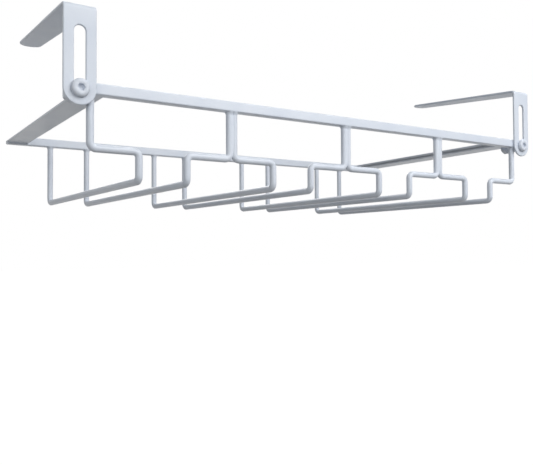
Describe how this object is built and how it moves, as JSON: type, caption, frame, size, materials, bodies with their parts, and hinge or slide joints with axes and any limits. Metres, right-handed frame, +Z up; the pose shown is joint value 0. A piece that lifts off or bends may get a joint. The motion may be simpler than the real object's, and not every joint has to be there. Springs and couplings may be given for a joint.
{
  "type": "hanging wine glass rack",
  "caption": "Under-shelf stemware rack: a welded wire frame with lanes for glass stems, hung by slotted hooks that clamp with screws and reach back over the shelf.",
  "frame": {"origin": "middle of the front rail's top face, which lies against the shelf's underside", "axes": "+X along the front rail to the right as seen from the front, +Y back along the lanes, +Z up"},
  "size_m": [0.4302, 0.2269, 0.1164],
  "materials": {
    "frame_paint": "satin powder coat",
    "hook_paint": "satin powder coat",
    "screw_paint": "satin paint, slightly glossier than the frame"
  },
  "bodies": {
    "frame": {"front_rail": "frame_paint", "rear_rail": "frame_paint", "left_side_bar": "frame_paint", "right_side_bar": "frame_paint", "lane_1_left_wire": "frame_paint", "lane_1_right_wire": "frame_paint", "lane_2_left_wire": "frame_paint", "lane_2_right_wire": "frame_paint", "lane_3_left_wire": "frame_paint", "lane_3_right_wire": "frame_paint", "lane_4_left_wire": "frame_paint", "lane_4_right_wire": "frame_paint", "left_screw_sleeve": "frame_paint", "right_screw_sleeve": "frame_paint", "left_clamp_nut": "frame_paint", "right_clamp_nut": "frame_paint"},
    "left_hook": {"left_hook": "hook_paint"},
    "right_hook": {"right_hook": "hook_paint"},
    "left_screw": {"left_clamp_screw": "screw_paint"},
    "right_screw": {"right_clamp_screw": "screw_paint"}
  },
  "joints": [
    {"name": "left_hook_slide", "type": "slide", "parent": "frame", "child": "left_hook", "axis": [0, 0, -1], "range_m": [0, 0.034]},
    {"name": "left_screw_turn", "type": "hinge", "parent": "frame", "child": "left_screw", "pos_m": [-0.20515, -0.0061, -0.005], "axis": [0, -1, 0], "range_deg": [0, 720]},
    {"name": "right_hook_slide", "type": "slide", "parent": "frame", "child": "right_hook", "axis": [0, 0, -1], "range_m": [0, 0.034]},
    {"name": "right_screw_turn", "type": "hinge", "parent": "frame", "child": "right_screw", "pos_m": [0.20515, -0.0061, -0.005], "axis": [0, -1, 0], "range_deg": [0, 720]}
  ]
}
